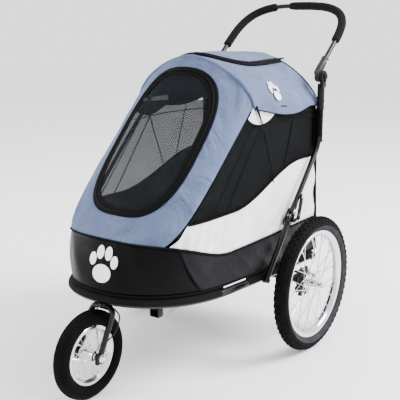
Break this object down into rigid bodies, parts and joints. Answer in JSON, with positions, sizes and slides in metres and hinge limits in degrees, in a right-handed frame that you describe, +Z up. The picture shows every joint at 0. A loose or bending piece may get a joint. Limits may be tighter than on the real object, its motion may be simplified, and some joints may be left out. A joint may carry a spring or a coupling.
{
  "type": "pet stroller",
  "caption": "Folding pet stroller: a sewn mesh-windowed cabin on a loop frame, with large spoked rear wheels, a swivel front wheel and a bowed push handle.",
  "frame": {"origin": "on the ground, under the middle of the stroller's box", "axes": "+Z up, the front of the stroller points to -Y, the stroller's own left side is +X"},
  "size_m": [0.69, 1.1886, 1.0093],
  "materials": {
    "black_tube": "gloss black powder coat",
    "plated_steel": "zinc-plated steel",
    "chrome": "bright plated",
    "black_plastic": "moulded black nylon",
    "grey_plastic": "moulded dark grey plastic",
    "grip_foam": "closed-cell black foam",
    "tyre_rubber": "black tyre rubber",
    "blue_cloth": "blue-grey woven polyester",
    "pale_cloth": "pale grey woven polyester",
    "dark_cloth": "charcoal woven polyester",
    "mesh_cloth": "black window mesh",
    "pad_cloth": "dark grey padded floor cloth"
  },
  "bodies": {
    "chassis": {"frame_loop": "black_tube", "rear_cross_tube": "black_tube", "floor_rail": "black_tube", "axle_beam": "black_tube", "tow_receiver": "plated_steel", "head_housing": "black_tube", "left_brace_stub": "black_tube", "right_brace_stub": "black_tube", "left_fold_pin": "plated_steel", "right_fold_pin": "plated_steel", "left_axle_pin": "plated_steel", "right_axle_pin": "plated_steel", "floor_board": "black_plastic", "floor_pad": "pad_cloth", "tub_nose": "dark_cloth", "left_tub_side": "dark_cloth", "right_tub_side": "dark_cloth", "tub_rear": "dark_cloth", "left_side_band": "pale_cloth", "right_side_band": "pale_cloth", "left_side_window": "mesh_cloth", "right_side_window": "mesh_cloth", "front_panel": "blue_cloth", "roof_panel": "blue_cloth", "rear_panel": "mesh_cloth", "left_hoop_socket": "black_plastic", "right_hoop_socket": "black_plastic"},
    "push_frame": {"left_side_tube": "black_tube", "right_side_tube": "black_tube", "left_tilt_base": "black_plastic", "right_tilt_base": "black_plastic"},
    "handle": {"handle_bar": "black_tube", "left_grip": "grip_foam", "right_grip": "grip_foam", "left_tilt_sleeve": "grey_plastic", "right_tilt_sleeve": "grey_plastic"},
    "left_tilt_push": {"left_tilt_button": "black_plastic"},
    "right_tilt_push": {"right_tilt_button": "black_plastic"},
    "left_hook": {"left_fold_hook": "plated_steel"},
    "right_hook": {"right_fold_hook": "plated_steel"},
    "hoop": {"canopy_hoop": "plated_steel"},
    "door": {"mesh_door": "mesh_cloth"},
    "brake": {"brake_bar": "black_tube"},
    "left_wheel": {"left_tyre": "tyre_rubber", "left_rim": "chrome", "left_spoked_hub": "chrome", "left_brake_ring": "black_plastic"},
    "right_wheel": {"right_tyre": "tyre_rubber", "right_rim": "chrome", "right_spoked_hub": "chrome", "right_brake_ring": "black_plastic"},
    "left_release": {"left_release_button": "chrome"},
    "right_release": {"right_release_button": "chrome"},
    "fork_swivel": {"fork": "black_tube", "front_axle": "chrome"},
    "front_wheel": {"front_tyre": "tyre_rubber", "front_rim": "chrome", "front_spoked_hub": "chrome"}
  },
  "joints": [
    {"name": "frame_fold", "type": "hinge", "parent": "chassis", "child": "push_frame", "pos_m": [0, 0.15665, 0.403], "axis": [1, 0, 0], "range_deg": [0, 95]},
    {"name": "handle_tilt", "type": "hinge", "parent": "push_frame", "child": "handle", "pos_m": [0, 0.33265, 0.788], "axis": [1, 0, 0], "range_deg": [-60, 45]},
    {"name": "hoop_fold", "type": "hinge", "parent": "chassis", "child": "hoop", "pos_m": [0, -0.32935, 0.41], "axis": [1, 0, 0], "range_deg": [-38, 0]},
    {"name": "door_flap", "type": "hinge", "parent": "chassis", "child": "door", "pos_m": [0, -0.36235, 0.465], "axis": [1, 0, 0], "range_deg": [0, 120]},
    {"name": "brake_pedal", "type": "hinge", "parent": "chassis", "child": "brake", "pos_m": [0, 0.21465, 0.2], "axis": [1, 0, 0], "range_deg": [-40, 0]},
    {"name": "fork_swivel_turn", "type": "hinge", "parent": "chassis", "child": "fork_swivel", "pos_m": [0, -0.41735, 0.25], "axis": [0, 0, 1], "continuous": true},
    {"name": "front_wheel_spin", "type": "hinge", "parent": "fork_swivel", "child": "front_wheel", "pos_m": [0, -0.47635, 0.118], "axis": [1, 0, 0], "continuous": true},
    {"name": "left_wheel_spin", "type": "hinge", "parent": "chassis", "child": "left_wheel", "pos_m": [0.307, 0.14865, 0.2], "axis": [1, 0, 0], "continuous": true},
    {"name": "right_wheel_spin", "type": "hinge", "parent": "chassis", "child": "right_wheel", "pos_m": [-0.307, 0.14865, 0.2], "axis": [1, 0, 0], "continuous": true},
    {"name": "left_tilt_press", "type": "slide", "parent": "push_frame", "child": "left_tilt_push", "axis": [-1, 0, 0], "range_m": [0, 0.004], "stiffness_N_per_m": 400},
    {"name": "left_hook_lift", "type": "hinge", "parent": "push_frame", "child": "left_hook", "pos_m": [0.238, 0.19465, 0.443], "axis": [1, 0, 0], "range_deg": [0, 35], "stiffness_Nm_per_rad": 0.08, "springref_deg": -17.19},
    {"name": "left_release_press", "type": "slide", "parent": "chassis", "child": "left_release", "axis": [-1, 0, 0], "range_m": [0, 0.003], "stiffness_N_per_m": 400},
    {"name": "right_tilt_press", "type": "slide", "parent": "push_frame", "child": "right_tilt_push", "axis": [1, 0, 0], "range_m": [0, 0.004], "stiffness_N_per_m": 400},
    {"name": "right_hook_lift", "type": "hinge", "parent": "push_frame", "child": "right_hook", "pos_m": [-0.238, 0.19465, 0.443], "axis": [1, 0, 0], "range_deg": [0, 35], "stiffness_Nm_per_rad": 0.08, "springref_deg": -17.19},
    {"name": "right_release_press", "type": "slide", "parent": "chassis", "child": "right_release", "axis": [1, 0, 0], "range_m": [0, 0.003], "stiffness_N_per_m": 400}
  ],
  "couplings": [
    {"joint": "hoop_fold", "follows": "frame_fold", "ratio": -0.38}
  ]
}
